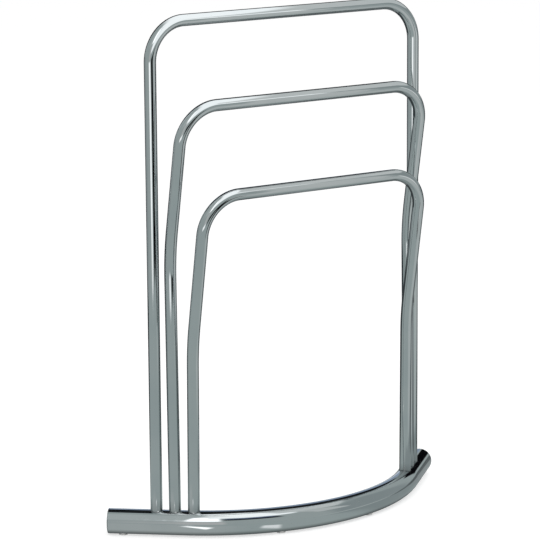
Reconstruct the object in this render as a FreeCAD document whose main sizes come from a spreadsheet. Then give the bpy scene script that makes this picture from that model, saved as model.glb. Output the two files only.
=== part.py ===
import FreeCAD, Part
import Sketcher
import math
import os

Vector = FreeCAD.Vector
Rotation = FreeCAD.Rotation
Placement = FreeCAD.Placement
Constraint = Sketcher.Constraint

# Freestanding towel stand: three nested tube U-frames on one bowed base tube.
# Millimetres and degrees. +Z is up, the front of the stand faces -Y, and the origin is on the floor
# under the middle of the stand.

SIZES = {
    # round tube of the three frames
    "leg_diameter": 19.0,
    "leg_wall": 1.2,
    # round tube of the base, whose plan is an arc bowed forwards with a straight run at each end
    "base_diameter": 40.0,
    "base_wall": 1.5,
    "base_bend_radius": 333.0,
    "base_half_sweep": 41.8,
    "base_straight_length": 120.0,
    "base_end_chamfer": 0.3,
    # places of the legs along the base, measured from its ends
    "rear_leg_inset": 76.0,
    "leg_spacing": 29.8,
    # frames: heights of the bars and kinks above the floor, on the tubes' centre lines, and the leans
    "rear_bar_height": 815.0,
    "middle_bar_height": 687.0,
    "front_bar_height": 549.0,
    "middle_kink_height": 453.0,
    "front_kink_height": 308.0,
    "middle_lower_lean": -0.7,
    "middle_upper_lean": 10.2,
    "front_lower_lean": 0.5,
    "front_upper_lean": 9.7,
    "corner_radius": 62.0,
    "kink_radius": 390.0,
    # domed caps in the ends of the base
    "cap_rim": 1.2,
    "cap_dome": 2.0,
    "cap_edge_radius": 0.6,
    "cap_wall": 2.0,
    "cap_spigot_length": 12.0,
    "cap_clearance": 0.15,
    # threaded plug in each leg, with the screw and saddle washer that hold it from inside the base
    "plug_length": 20.0,
    "plug_setback": 1.0,
    "plug_clearance": 0.1,
    "screw_diameter": 6.0,
    "screw_length": 16.0,
    "screw_tip_chamfer": 0.6,
    "screw_head_diameter": 10.0,
    "screw_head_height": 6.0,
    "hex_key_width": 5.0,
    "hex_key_depth": 3.0,
    "thread_clearance": 0.1,
    "screw_hole_clearance": 0.3,
    "washer_diameter": 13.0,
    "washer_thickness": 2.5,
    "access_clearance": 0.75,
    # pads pushed into the underside of the base
    "pad_height": 1.5,
    "pad_diameter": 14.0,
    "pad_stem_diameter": 5.0,
    "pad_stem_clearance": 0.1,
    "pad_barb_diameter": 6.4,
    "pad_barb_height": 3.0,
    "pad_barb_gap": 0.6,
    "rear_pad_inset": 22.0,
    "front_pad_angle": 15.0,
    # gap kept between pieces that seat on each other's curved faces
    "seat_gap": 0.1,
}

LEGS = ("rear", "middle", "front")
LEANING = ("middle", "front")
PADS = ("rear", "front")
SIDES = {"left": "-", "right": ""}  # sign of X
SAME_LENGTH = 1e-6  # lengths this near each other count as one

doc = FreeCAD.newDocument("towel_stand")


def fill_sheet():
    """The driving sizes, one named cell each."""
    sheet = doc.addObject("Spreadsheet::Sheet", "sizes")
    for row, (name, size) in enumerate(SIZES.items(), start=1):
        sheet.set("A%d" % row, name)
        sheet.set("B%d" % row, str(size))
        sheet.setAlias("B%d" % row, name)
    doc.recompute()


def derive(name, expression):
    """A size worked out from the sheet and from the sizes derived before it."""
    derived.addProperty("App::PropertyFloat", name, "derived")
    derived.setExpression(name, expression)
    doc.recompute()


def derive_base():
    """Radii, heights and plan of the base. Plan places are measured from the centre of its arc."""
    derive("leg_radius", "sizes.leg_diameter / 2")
    derive("leg_bore_radius", "derived.leg_radius - sizes.leg_wall")
    derive("base_radius", "sizes.base_diameter / 2")
    derive("base_bore_radius", "derived.base_radius - sizes.base_wall")
    derive("envelope_radius", "derived.base_radius + sizes.seat_gap")
    derive("lining_radius", "derived.base_bore_radius - sizes.seat_gap")
    derive("base_height", "sizes.pad_height + derived.base_radius")
    derive("tangent_x", "sizes.base_bend_radius * sin(sizes.base_half_sweep)")
    derive("tangent_depth", "sizes.base_bend_radius * cos(sizes.base_half_sweep)")
    derive("end_x", "derived.tangent_x + sizes.base_straight_length * cos(sizes.base_half_sweep)")
    derive("end_depth", "derived.tangent_depth - sizes.base_straight_length * sin(sizes.base_half_sweep)")
    derive("back_depth", "derived.end_depth - sizes.cap_rim * sin(sizes.base_half_sweep)"
                         " - derived.base_radius * cos(sizes.base_half_sweep)")
    derive("bow_depth", "sizes.base_bend_radius + derived.base_radius")
    derive("arc_centre_y", "(derived.back_depth + derived.bow_depth) / 2")


def derive_place(name, station):
    """A place on the base's centre line, a run past the arc's end, or before it where negative."""
    derive(name + "_station", station)
    arc_angle = ("(sizes.base_half_sweep + derived.%s_station / sizes.base_bend_radius * 180 / pi)" % name)
    on_arc = "derived.%s_station < 0" % name
    derive(name + "_x", "%s ? sizes.base_bend_radius * sin(%s) : "
                        "derived.tangent_x + derived.%s_station * cos(sizes.base_half_sweep)"
           % (on_arc, arc_angle, name))
    derive(name + "_depth", "%s ? sizes.base_bend_radius * cos(%s) : "
                            "derived.tangent_depth - derived.%s_station * sin(sizes.base_half_sweep)"
           % (on_arc, arc_angle, name))


def derive_places():
    """Places of the legs and pads on the base."""
    derive_place("rear_leg", "sizes.base_straight_length - sizes.rear_leg_inset")
    derive_place("middle_leg", "derived.rear_leg_station - sizes.leg_spacing")
    derive_place("front_leg", "derived.middle_leg_station - sizes.leg_spacing")
    derive_place("rear_pad", "sizes.base_straight_length - sizes.rear_pad_inset")
    derive_place("front_pad", "(sizes.front_pad_angle - sizes.base_half_sweep)"
                              " * pi / 180 * sizes.base_bend_radius")


def derive_frames():
    """Runs and bends of the frames, measured along each frame's own legs from the base's centre."""
    derive("rear_lower_lean", "0")
    derive("rear_rise", "sizes.rear_bar_height - derived.base_height")
    for leg in LEANING:
        derive(leg + "_lower_lean", "sizes.%s_lower_lean" % leg)
        derive(leg + "_bend", "sizes.%s_upper_lean - sizes.%s_lower_lean" % (leg, leg))
        derive(leg + "_lower_run", "(sizes.%s_kink_height - derived.base_height)"
                                   " / cos(sizes.%s_lower_lean)" % (leg, leg))
        derive(leg + "_upper_run", "(sizes.%s_bar_height - sizes.%s_kink_height)"
                                   " / cos(sizes.%s_upper_lean)" % (leg, leg, leg))
        derive(leg + "_kink_tangent", "sizes.kink_radius * tan(derived.%s_bend / 2)" % leg)
        derive(leg + "_lower_straight", "derived.%s_lower_run - derived.%s_kink_tangent" % (leg, leg))


def derive_fastenings():
    """Heights along a leg's axis, from the base's centre, and radii of what lies on that axis."""
    derive("washer_bottom", "derived.lining_radius - sizes.washer_thickness")
    derive("washer_blank_height", "derived.base_bore_radius - derived.washer_bottom")
    derive("washer_radius", "sizes.washer_diameter / 2")
    derive("head_top", "derived.washer_bottom - sizes.seat_gap")
    derive("head_bottom", "derived.head_top - sizes.screw_head_height")
    derive("head_radius", "sizes.screw_head_diameter / 2")
    derive("screw_radius", "sizes.screw_diameter / 2")
    derive("screw_hole_radius", "derived.screw_radius + sizes.screw_hole_clearance")
    derive("access_hole_radius", "derived.washer_radius + sizes.access_clearance")
    derive("hex_corner_radius", "sizes.hex_key_width / sqrt(3)")
    derive("plug_bottom", "derived.envelope_radius + sizes.plug_setback")
    derive("plug_radius", "derived.leg_bore_radius - sizes.plug_clearance")
    derive("thread_radius", "derived.screw_radius + sizes.thread_clearance")


def derive_caps_and_pads():
    """Radii and reaches of the end caps, along their axis, and of the pads, above the floor."""
    derive("spigot_radius", "derived.base_bore_radius - sizes.cap_clearance")
    derive("spigot_bore_radius", "derived.spigot_radius - sizes.cap_wall")
    derive("cap_reach", "sizes.cap_rim + sizes.cap_dome")
    derive("pad_radius", "sizes.pad_diameter / 2")
    derive("stem_foot", "sizes.pad_height / 2")
    derive("stem_radius", "sizes.pad_stem_diameter / 2")
    derive("stem_hole_radius", "derived.stem_radius + sizes.pad_stem_clearance")
    derive("barb_radius", "sizes.pad_barb_diameter / 2")
    derive("barb_bottom", "sizes.pad_height + sizes.base_wall + sizes.pad_barb_gap")
    derive("barb_top", "derived.barb_bottom + sizes.pad_barb_height")


def size_of(name):
    """The present number behind a name such as sizes.leg_wall or derived.leg_radius."""
    owner, size = name.split(".")
    return getattr(doc.getObject(owner), size)


def origin_plane(body, role):
    return next(feature for feature in body.Origin.OriginFeatures if feature.Role == role)


def place(target, **expressions):
    """Bind parts of an object's Placement: x, y, z and turn, whose axis is set beforehand."""
    paths = {"x": "Placement.Base.x", "y": "Placement.Base.y", "z": "Placement.Base.z",
             "turn": "Placement.Rotation.Angle"}
    for part, expression in expressions.items():
        target.setExpression(paths[part], expression)


def new_body(name, turn_axis=Vector(0, 0, 1)):
    body = doc.addObject("PartDesign::Body", name)
    body.Label = name
    body.Placement = Placement(Vector(), Rotation(turn_axis, 0))
    return body


def new_sketch(body, name, role, turn_axis=Vector(0, 0, 1), **offsets):
    """A sketch on one of the body's own planes, shifted and turned by bound offsets."""
    sketch = body.newObject("Sketcher::SketchObject", name)
    sketch.AttachmentSupport = (origin_plane(body, role), [""])
    sketch.MapMode = "FlatFace"
    sketch.AttachmentOffset = Placement(Vector(), Rotation(turn_axis, 0))
    paths = {"x": "AttachmentOffset.Base.x", "y": "AttachmentOffset.Base.y",
             "z": "AttachmentOffset.Base.z", "turn": "AttachmentOffset.Rotation.Angle"}
    for part, expression in offsets.items():
        sketch.setExpression(paths[part], expression)
    return sketch


def constrain(sketch, kind, *elements):
    """Add a constraint. A last element that is a size's name gives and binds its value."""
    if isinstance(elements[-1], str):
        number = sketch.addConstraint(Constraint(kind, *elements[:-1], size_of(elements[-1])))
        sketch.setExpression("Constraints[%d]" % number, elements[-1])
    else:
        sketch.addConstraint(Constraint(kind, *elements))


def fix_point(sketch, element, point, across, up, across_sign=1, up_sign=1):
    """Hold a sketch point at named distances from the sketch's origin; None puts it on the axis."""
    if across is None:
        constrain(sketch, "PointOnObject", element, point, -2)
    elif across_sign > 0:
        constrain(sketch, "DistanceX", -1, 1, element, point, across)
    else:
        constrain(sketch, "DistanceX", element, point, -1, 1, across)
    if up is None:
        constrain(sketch, "PointOnObject", element, point, -1)
    elif up_sign > 0:
        constrain(sketch, "DistanceY", -1, 1, element, point, up)
    else:
        constrain(sketch, "DistanceY", element, point, -1, 1, up)


def signed(name, sign):
    return 0.0 if name is None else sign * size_of(name)


def add_circle(sketch, radius, across=None, up=None, across_sign=1, up_sign=1):
    centre = Vector(signed(across, across_sign), signed(up, up_sign), 0)
    circle = sketch.addGeometry(Part.Circle(centre, Vector(0, 0, 1), size_of(radius)))
    constrain(sketch, "Radius", circle, radius)
    fix_point(sketch, circle, 3, across, up, across_sign, up_sign)
    return circle


def domed_edge(start, end):
    """An arc from a point on the across axis, out to the end point, centred on that axis."""
    centre_x = (start.x ** 2 - end.x ** 2 - end.y ** 2) / (2 * (start.x - end.x))
    circle = Part.Circle(Vector(centre_x, 0, 0), Vector(0, 0, 1), start.x - centre_x)
    return Part.ArcOfCircle(circle, 0, math.atan2(end.y, end.x - centre_x))


def add_outline(sketch, corners, dome=None):
    """A closed outline of straight edges, apart from one domed edge where its number is given.

    Each corner is (across, up, across sign), by name, and None lies on the axis.
    """
    points = [Vector(signed(across, sign), signed(up, 1), 0) for across, up, sign in corners]
    edges = []
    for number, (start, end) in enumerate(zip(points, points[1:] + points[:1])):
        edge = domed_edge(start, end) if number == dome else Part.LineSegment(start, end)
        edges.append(sketch.addGeometry(edge))
    for number, edge in enumerate(edges):
        constrain(sketch, "Coincident", edges[number - 1], 2, edge, 1)
        across, up, sign = corners[number]
        fix_point(sketch, edge, 1, across, up, across_sign=sign)
    if dome is not None:
        constrain(sketch, "PointOnObject", edges[dome], 3, -1)


def bowed_rod(name, radii):
    """The base's course filled with round stock: an arc, with a straight run at each end.

    One radius makes a solid rod and two make a tube. The body's origin is the arc's centre, on the
    floor. Returns the body and the features that its second side repeats.
    """
    body = new_body(name)
    place(body, y="derived.arc_centre_y")
    arc_section = new_sketch(body, name + "_arc_section", "YZ_Plane")
    end_section = new_sketch(body, name + "_end_section", "YZ_Plane", Vector(0, 1, 0),
                             turn="sizes.base_half_sweep")
    for section in (arc_section, end_section):
        for radius in radii:
            add_circle(section, radius, "sizes.base_bend_radius", "derived.base_height", across_sign=-1)
    arc = body.newObject("PartDesign::Revolution", name + "_arc")
    arc.Profile = arc_section
    arc.ReferenceAxis = (arc_section, ["V_Axis"])
    arc.Midplane = True
    arc.setExpression("Angle", "2 * sizes.base_half_sweep")
    doc.recompute()
    end_run = body.newObject("PartDesign::Pad", name + "_end_run")
    end_run.Profile = end_section
    end_run.setExpression("Length", "sizes.base_straight_length")
    doc.recompute()
    return body, [end_run]


def mirror_right_side(body, features):
    """Repeat the right side's features on the left."""
    mirrored = body.newObject("PartDesign::Mirrored", body.Name + "_both_sides")
    mirrored.Originals = features
    mirrored.MirrorPlane = (origin_plane(body, "YZ_Plane"), [""])
    body.Tip = mirrored
    doc.recompute()
    return mirrored


def bowed_rod_both_sides(name, radius):
    body, repeated = bowed_rod(name, (radius,))
    mirror_right_side(body, repeated)
    return body


def drill_base(body, name, holes, upwards):
    """Pocket a set of round holes from the base's centre line out through one wall."""
    sketch = new_sketch(body, name + "_sketch", "XY_Plane", z="derived.base_height")
    for radius, spot in holes:
        add_circle(sketch, radius, "derived.%s_x" % spot, "derived.%s_depth" % spot, up_sign=-1)
    pocket = body.newObject("PartDesign::Pocket", name)
    pocket.Profile = sketch
    pocket.Type = "ThroughAll"
    pocket.Reversed = upwards
    doc.recompute()
    return pocket


def base_tube():
    """The base: a bowed tube, drilled above for the leg screws and below for access and the pads."""
    body, repeated = bowed_rod("base_tube", ("derived.base_radius", "derived.base_bore_radius"))
    screw_holes = [("derived.screw_hole_radius", leg + "_leg") for leg in LEGS]
    access_holes = [("derived.access_hole_radius", leg + "_leg") for leg in LEGS]
    stem_holes = [("derived.stem_hole_radius", pad + "_pad") for pad in PADS]
    repeated.append(drill_base(body, "screw_holes", screw_holes, upwards=True))
    repeated.append(drill_base(body, "access_holes", access_holes, upwards=False))
    repeated.append(drill_base(body, "stem_holes", stem_holes, upwards=False))
    mirrored = mirror_right_side(body, repeated)
    end_x = size_of("derived.end_x")
    rims = ring_edges(mirrored, "derived.base_radius", lambda centre: same_length(abs(centre.x), end_x))
    dress_edges(body, "PartDesign::Chamfer", "base_end_chamfers", mirrored, rims,
                "Size", "sizes.base_end_chamfer")
    return body


def u_path(sketch, half_width, start, rise):
    """Centre line of a U on end: up the left leg, round two corners and down the right leg."""
    wide = size_of(half_width)
    low = signed(start, 1)
    high = size_of(rise)
    corner = size_of("sizes.corner_radius")
    bar_end = wide - corner
    shoulder = high - corner
    left_leg = sketch.addGeometry(Part.LineSegment(Vector(-wide, low, 0), Vector(-wide, shoulder, 0)))
    left_circle = Part.Circle(Vector(-bar_end, shoulder, 0), Vector(0, 0, 1), corner)
    left_corner = sketch.addGeometry(Part.ArcOfCircle(left_circle, math.pi / 2, math.pi))
    bar = sketch.addGeometry(Part.LineSegment(Vector(-bar_end, high, 0), Vector(bar_end, high, 0)))
    right_circle = Part.Circle(Vector(bar_end, shoulder, 0), Vector(0, 0, 1), corner)
    right_corner = sketch.addGeometry(Part.ArcOfCircle(right_circle, 0, math.pi / 2))
    right_leg = sketch.addGeometry(Part.LineSegment(Vector(wide, shoulder, 0), Vector(wide, low, 0)))
    constrain(sketch, "Tangent", left_leg, 2, left_corner, 2)
    constrain(sketch, "Tangent", left_corner, 1, bar, 1)
    constrain(sketch, "Tangent", bar, 2, right_corner, 2)
    constrain(sketch, "Tangent", right_corner, 1, right_leg, 1)
    constrain(sketch, "Vertical", left_leg)
    constrain(sketch, "Vertical", right_leg)
    constrain(sketch, "Horizontal", bar)
    constrain(sketch, "Equal", left_corner, right_corner)
    constrain(sketch, "Symmetric", left_leg, 1, right_leg, 2, -2)
    constrain(sketch, "Radius", left_corner, "sizes.corner_radius")
    constrain(sketch, "DistanceY", -1, 1, bar, 1, rise)
    fix_point(sketch, left_leg, 1, half_width, start, across_sign=-1)


def add_leg_sections(sketch, half_width, up=None, signs=(-1, 1)):
    """The tube's ring at the left leg, the right leg or both."""
    for sign in signs:
        for radius in ("derived.leg_radius", "derived.leg_bore_radius"):
            add_circle(sketch, radius, half_width, up, across_sign=sign)


def sweep_u(body, section, path):
    pipe = body.newObject("PartDesign::AdditivePipe", body.Name + "_u")
    pipe.Profile = section
    pipe.Spine = (path, [])
    doc.recompute()


def upright_frame_blank(leg):
    """The rear frame before its feet are cut: one flat U. The body's origin is on the base's centre."""
    half_width = "derived.%s_leg_x" % leg
    body = new_body(leg + "_frame_blank")
    place(body, y="derived.arc_centre_y - derived.%s_leg_depth" % leg, z="derived.base_height")
    path = new_sketch(body, leg + "_path", "XZ_Plane")
    u_path(path, half_width, None, "derived.%s_rise" % leg)
    section = new_sketch(body, leg + "_section", "XY_Plane")
    add_leg_sections(section, half_width, signs=(-1,))
    doc.recompute()
    sweep_u(body, section, path)
    return body


def leaning_frame_blank(leg):
    """A frame whose legs kink forwards, before its feet are cut.

    Straight lower legs, a kink about one axis across both legs, then a flat U in the leaning plane.
    """
    half_width = "derived.%s_leg_x" % leg
    across = Vector(1, 0, 0)
    body = new_body(leg + "_frame_blank", across)
    place(body, y="derived.arc_centre_y - derived.%s_leg_depth" % leg, z="derived.base_height",
          turn="derived.%s_lower_lean" % leg)
    foot_section = new_sketch(body, leg + "_foot_section", "XY_Plane")
    add_leg_sections(foot_section, half_width)
    lower_legs = body.newObject("PartDesign::Pad", leg + "_lower_legs")
    lower_legs.Profile = foot_section
    lower_legs.setExpression("Length", "derived.%s_lower_straight" % leg)
    doc.recompute()

    kink_axis = {"y": "-sizes.kink_radius", "z": "derived.%s_lower_straight" % leg}
    kink_section = new_sketch(body, leg + "_kink_section", "XY_Plane", across, **kink_axis)
    add_leg_sections(kink_section, half_width, "sizes.kink_radius")
    kinks = body.newObject("PartDesign::Revolution", leg + "_kinks")
    kinks.Profile = kink_section
    kinks.ReferenceAxis = (kink_section, ["H_Axis"])
    kinks.setExpression("Angle", "derived.%s_bend" % leg)
    doc.recompute()

    upper_section = new_sketch(body, leg + "_upper_section", "XY_Plane", across,
                               turn="derived.%s_bend" % leg, **kink_axis)
    add_leg_sections(upper_section, half_width, "sizes.kink_radius", signs=(-1,))
    path = new_sketch(body, leg + "_path", "XZ_Plane", across,
                      y="derived.%s_lower_run" % leg, turn="derived.%s_bend" % leg)
    u_path(path, half_width, "derived.%s_kink_tangent" % leg, "derived.%s_upper_run" % leg)
    doc.recompute()
    sweep_u(body, upper_section, path)
    return body


def boolean(kind, name, base, tool):
    """A named cut, common or fuse of two objects."""
    result = doc.addObject(kind, name)
    result.Label = name
    result.Base = base
    result.Tool = tool
    return result


def frame(leg, base_envelope):
    """A frame with both feet cut to the saddle of the base."""
    blank = leaning_frame_blank(leg) if leg in LEANING else upright_frame_blank(leg)
    return boolean("Part::Cut", leg + "_frame", blank, base_envelope)


def revolve(body, sketch, axis, name):
    turned = body.newObject("PartDesign::Revolution", name)
    turned.Profile = sketch
    turned.ReferenceAxis = (sketch, [axis])
    turned.Angle = 360
    doc.recompute()
    return turned


def ring(body, name, radii, bottom, length):
    """Round stock on the body's own upright axis, from a named height; a second radius is its bore."""
    sketch = new_sketch(body, name + "_sketch", "XY_Plane", z=bottom)
    for radius in radii:
        add_circle(sketch, radius)
    stock = body.newObject("PartDesign::Pad", name)
    stock.Profile = sketch
    stock.setExpression("Length", length)
    doc.recompute()
    return stock


def same_length(first, second):
    return math.isclose(first, second, abs_tol=SAME_LENGTH)


def ring_edges(feature, radius, wanted):
    """Names of the round edges of one radius whose centres are wanted."""
    names = []
    for number, edge in enumerate(feature.Shape.Edges, start=1):
        if not edge.Degenerated and isinstance(edge.Curve, Part.Circle):
            if same_length(edge.Curve.Radius, size_of(radius)) and wanted(edge.Curve.Center):
                names.append("Edge%d" % number)
    return names


def dress_edges(body, kind, name, feature, edges, size_property, size):
    """Round or chamfer the named edges of a feature."""
    dressing = body.newObject(kind, name)
    dressing.Base = (feature, edges)
    dressing.setExpression(size_property, size)
    doc.recompute()
    return dressing


def add_hexagon(sketch, corner_radius):
    """A regular hexagon about the sketch's origin, with one corner on the across axis."""
    reach = size_of(corner_radius)
    guide = sketch.addGeometry(Part.Circle(Vector(), Vector(0, 0, 1), reach), True)
    constrain(sketch, "Radius", guide, corner_radius)
    constrain(sketch, "Coincident", guide, 3, -1, 1)
    corners = [Vector(reach * math.cos(turn * math.pi / 3), reach * math.sin(turn * math.pi / 3), 0)
               for turn in range(6)]
    sides = [sketch.addGeometry(Part.LineSegment(start, end))
             for start, end in zip(corners, corners[1:] + corners[:1])]
    for number, side in enumerate(sides):
        constrain(sketch, "Coincident", sides[number - 1], 2, side, 1)
        constrain(sketch, "PointOnObject", side, 1, guide)
        if number:
            constrain(sketch, "Equal", sides[0], side)
    constrain(sketch, "PointOnObject", sides[0], 1, -1)


def end_cap(side):
    """A domed cap: its spigot fits the bore and its rim seats on the tube's end. Local X points out."""
    name = "base_end_cap_" + side
    body = new_body(name)
    turn = {"left": "180 - sizes.base_half_sweep", "right": "sizes.base_half_sweep"}[side]
    place(body, x=SIDES[side] + "derived.end_x", y="derived.arc_centre_y - derived.end_depth",
          z="derived.base_height", turn=turn)
    sketch = new_sketch(body, name + "_profile", "XY_Plane")
    corners = [
        (None, "derived.base_radius", 1),
        (None, "derived.spigot_radius", 1),
        ("sizes.cap_spigot_length", "derived.spigot_radius", -1),
        ("sizes.cap_spigot_length", "derived.spigot_bore_radius", -1),
        (None, "derived.spigot_bore_radius", 1),
        (None, None, 1),
        ("derived.cap_reach", None, 1),
        ("sizes.cap_rim", "derived.base_radius", 1),
    ]
    add_outline(sketch, corners, dome=6)
    turned = revolve(body, sketch, "H_Axis", name + "_turned")
    rim = ring_edges(turned, "derived.base_radius", lambda centre: centre.x > 0)
    dress_edges(body, "PartDesign::Fillet", name + "_round", turned, rim, "Radius", "sizes.cap_edge_radius")
    return body


def leg_axis_body(name, leg, side):
    """A body whose upright axis is the leg's, from the base's centre."""
    body = new_body(name, Vector(1, 0, 0))
    place(body, x=SIDES[side] + "derived.%s_leg_x" % leg,
          y="derived.arc_centre_y - derived.%s_leg_depth" % leg,
          z="derived.base_height", turn="derived.%s_lower_lean" % leg)
    return body


def leg_plug(leg, side):
    """The threaded plug fixed in the foot of a leg, set back from the saddle."""
    name = "leg_plug_%s_%s" % (leg, side)
    body = leg_axis_body(name, leg, side)
    ring(body, name + "_ring", ("derived.plug_radius", "derived.thread_radius"),
         "derived.plug_bottom", "sizes.plug_length")
    return body


def leg_screw(leg, side):
    """A socket head screw, head down inside the base."""
    name = "leg_screw_%s_%s" % (leg, side)
    body = leg_axis_body(name, leg, side)
    ring(body, name + "_head", ("derived.head_radius",), "derived.head_bottom", "sizes.screw_head_height")
    shank = ring(body, name + "_shank", ("derived.screw_radius",), "derived.head_top", "sizes.screw_length")
    plug_bottom = size_of("derived.plug_bottom")
    tip = ring_edges(shank, "derived.screw_radius", lambda centre: centre.z > plug_bottom)
    dress_edges(body, "PartDesign::Chamfer", name + "_tip", shank, tip, "Size", "sizes.screw_tip_chamfer")
    socket = new_sketch(body, name + "_socket_sketch", "XY_Plane", z="derived.head_bottom")
    add_hexagon(socket, "derived.hex_corner_radius")
    pocket = body.newObject("PartDesign::Pocket", name + "_socket")
    pocket.Profile = socket
    pocket.Reversed = True
    pocket.setExpression("Length", "sizes.hex_key_depth")
    doc.recompute()
    return body


def leg_washer(leg, side, lining):
    """A washer with a flat seat for the screw head and a saddle against the base's bore."""
    name = "leg_washer_%s_%s" % (leg, side)
    blank = leg_axis_body(name + "_blank", leg, side)
    ring(blank, name + "_ring", ("derived.washer_radius", "derived.screw_hole_radius"),
         "derived.washer_bottom", "derived.washer_blank_height")
    return boolean("Part::Common", name, blank, lining)


def foot_pad(row, side, base_envelope):
    """A pad whose skirt fits the underside of the base, with a barbed stem through the tube's wall."""
    name = "foot_pad_%s_%s" % (row, side)
    spot = {"x": SIDES[side] + "derived.%s_pad_x" % row,
            "y": "derived.arc_centre_y - derived.%s_pad_depth" % row}
    blank = doc.addObject("Part::Cylinder", name + "_blank")
    blank.setExpression("Radius", "derived.pad_radius")
    blank.setExpression("Height", "derived.base_height")
    place(blank, **spot)
    skirt = boolean("Part::Cut", name + "_skirt", blank, base_envelope)
    stem = new_body(name + "_stem")
    place(stem, **spot)
    sketch = new_sketch(stem, name + "_stem_profile", "XZ_Plane")
    corners = [
        (None, "derived.stem_foot", 1),
        ("derived.stem_radius", "derived.stem_foot", 1),
        ("derived.stem_radius", "derived.barb_bottom", 1),
        ("derived.barb_radius", "derived.barb_bottom", 1),
        ("derived.stem_radius", "derived.barb_top", 1),
        (None, "derived.barb_top", 1),
    ]
    add_outline(sketch, corners)
    revolve(stem, sketch, "V_Axis", name + "_stem_turned")
    return boolean("Part::Fuse", name, skirt, stem)


def build_nodes():
    """Every separate piece of the stand."""
    base_envelope = bowed_rod_both_sides("base_envelope", "derived.envelope_radius")
    lining = bowed_rod_both_sides("base_lining", "derived.lining_radius")
    nodes = [base_tube()]
    for leg in LEGS:
        nodes.append(frame(leg, base_envelope))
    for side in SIDES:
        nodes.append(end_cap(side))
        for leg in LEGS:
            nodes.append(leg_plug(leg, side))
            nodes.append(leg_screw(leg, side))
            nodes.append(leg_washer(leg, side, lining))
        for row in PADS:
            nodes.append(foot_pad(row, side, base_envelope))
    doc.recompute()
    return nodes


def check_document(nodes):
    """Stop if a feature failed, a pocket cut nothing or a piece isn't one sound solid."""
    for item in doc.Objects:
        if "Invalid" in item.State or "Error" in item.State:
            raise RuntimeError("%s: %s" % (item.Name, item.State))
        if item.TypeId == "PartDesign::Pocket":
            if item.Shape.Volume >= item.BaseFeature.Shape.Volume:
                raise RuntimeError("%s cuts nothing" % item.Name)
    for node in nodes:
        if node.Shape.isNull() or not node.Shape.isValid():
            raise RuntimeError("%s has no sound shape" % node.Label)
        if len(node.Shape.Solids) != 1:
            raise RuntimeError("%s has %d solids" % (node.Label, len(node.Shape.Solids)))


def write_steps(nodes):
    os.makedirs("parts", exist_ok=True)
    for node in nodes:
        node.Shape.exportStep("parts/%s.step" % node.Label)


fill_sheet()
derived = doc.addObject("App::VarSet", "derived")
derive_base()
derive_places()
derive_frames()
derive_fastenings()
derive_caps_and_pads()
pieces = build_nodes()
check_document(pieces)
write_steps(pieces)
print("%d pieces, bounds %s" % (len(pieces), Part.makeCompound([piece.Shape for piece in pieces]).BoundBox))
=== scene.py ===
import math

import bpy
import numpy as np
from mathutils import Matrix


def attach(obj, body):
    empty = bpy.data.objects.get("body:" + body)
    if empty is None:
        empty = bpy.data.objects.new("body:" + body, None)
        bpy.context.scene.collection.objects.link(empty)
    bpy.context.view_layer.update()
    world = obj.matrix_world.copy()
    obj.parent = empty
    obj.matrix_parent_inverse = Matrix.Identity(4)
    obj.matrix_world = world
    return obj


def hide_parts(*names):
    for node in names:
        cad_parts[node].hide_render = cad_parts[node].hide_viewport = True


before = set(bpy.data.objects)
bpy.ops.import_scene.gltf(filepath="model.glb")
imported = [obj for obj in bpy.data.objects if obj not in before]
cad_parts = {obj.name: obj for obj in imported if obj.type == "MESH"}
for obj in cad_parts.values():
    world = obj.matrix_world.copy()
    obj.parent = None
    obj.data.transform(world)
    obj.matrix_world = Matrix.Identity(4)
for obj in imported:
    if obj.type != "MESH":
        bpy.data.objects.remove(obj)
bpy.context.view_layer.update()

# Chrome towel stand: three nested bent tubes on one bowed floor tube. Metres, +Z up, front towards -Y.
print("frame: packed model loaded, nodes", len(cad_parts))


def gridFaces(rows, turns, closed=True):
    # each cell joins row i to i + 1 and turn j to j + 1. Turns wrap round, and in a closed skin so do rows
    i, j = np.meshgrid(np.arange(rows if closed else rows - 1), np.arange(turns), indexing="ij")
    down, along = (i + 1) % rows, (j + 1) % turns
    corners = [i * turns + j, down * turns + j, down * turns + along, i * turns + along]
    return np.stack(corners, -1).reshape(-1, 4)


def gridUv(lengthAt, girthAt):
    # a flat map in metres: across is the way round the tube, up is the way along it, with no jump at the wrap
    rows, turns = len(lengthAt) - 1, len(girthAt) - 1
    i, j = np.meshgrid(np.arange(rows), np.arange(turns), indexing="ij")
    across = np.stack([girthAt[j], girthAt[j], girthAt[j + 1], girthAt[j + 1]], -1)
    up = np.stack([lengthAt[i], lengthAt[i + 1], lengthAt[i + 1], lengthAt[i]], -1)
    return np.stack([across, up], -1).reshape(-1, 2)


creaseAngle = math.radians(40)  # edges that turn more than this stay crisp


def newPiece(name, points, faces, uvs, haze, material, replaced, creased=False):
    # a finer mesh with its flat map and seat haze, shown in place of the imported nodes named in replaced
    mesh = bpy.data.meshes.new(name)
    mesh.from_pydata(points.tolist(), [], faces)
    mesh.uv_layers.new(name="alongTube").data.foreach_set("uv", uvs.astype(np.float32).ravel())
    mesh.attributes.new("seatHaze", "FLOAT", "POINT").data.foreach_set("value", haze.astype(np.float32))
    mesh.polygons.foreach_set("use_smooth", [True] * len(mesh.polygons))
    mesh.materials.append(material)
    mesh.validate()
    mesh.update()
    if creased:
        mesh.set_sharp_from_angle(angle=creaseAngle)
    piece = bpy.data.objects.new(name, mesh)
    bpy.context.scene.collection.objects.link(piece)
    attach(piece, "root")
    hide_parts(*replaced)
    return piece


def newTree(material):
    material.use_nodes = True
    material.node_tree.nodes.clear()
    return material.node_tree


def addNode(tree, kind, inputs=(), **settings):
    node = tree.nodes.new(kind)
    for name, value in settings.items():
        setattr(node, name, value)
    for name, value in dict(inputs).items():
        if isinstance(value, bpy.types.NodeSocket):
            tree.links.new(value, node.inputs[name])
        else:
            node.inputs[name].default_value = value
    return node


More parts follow.
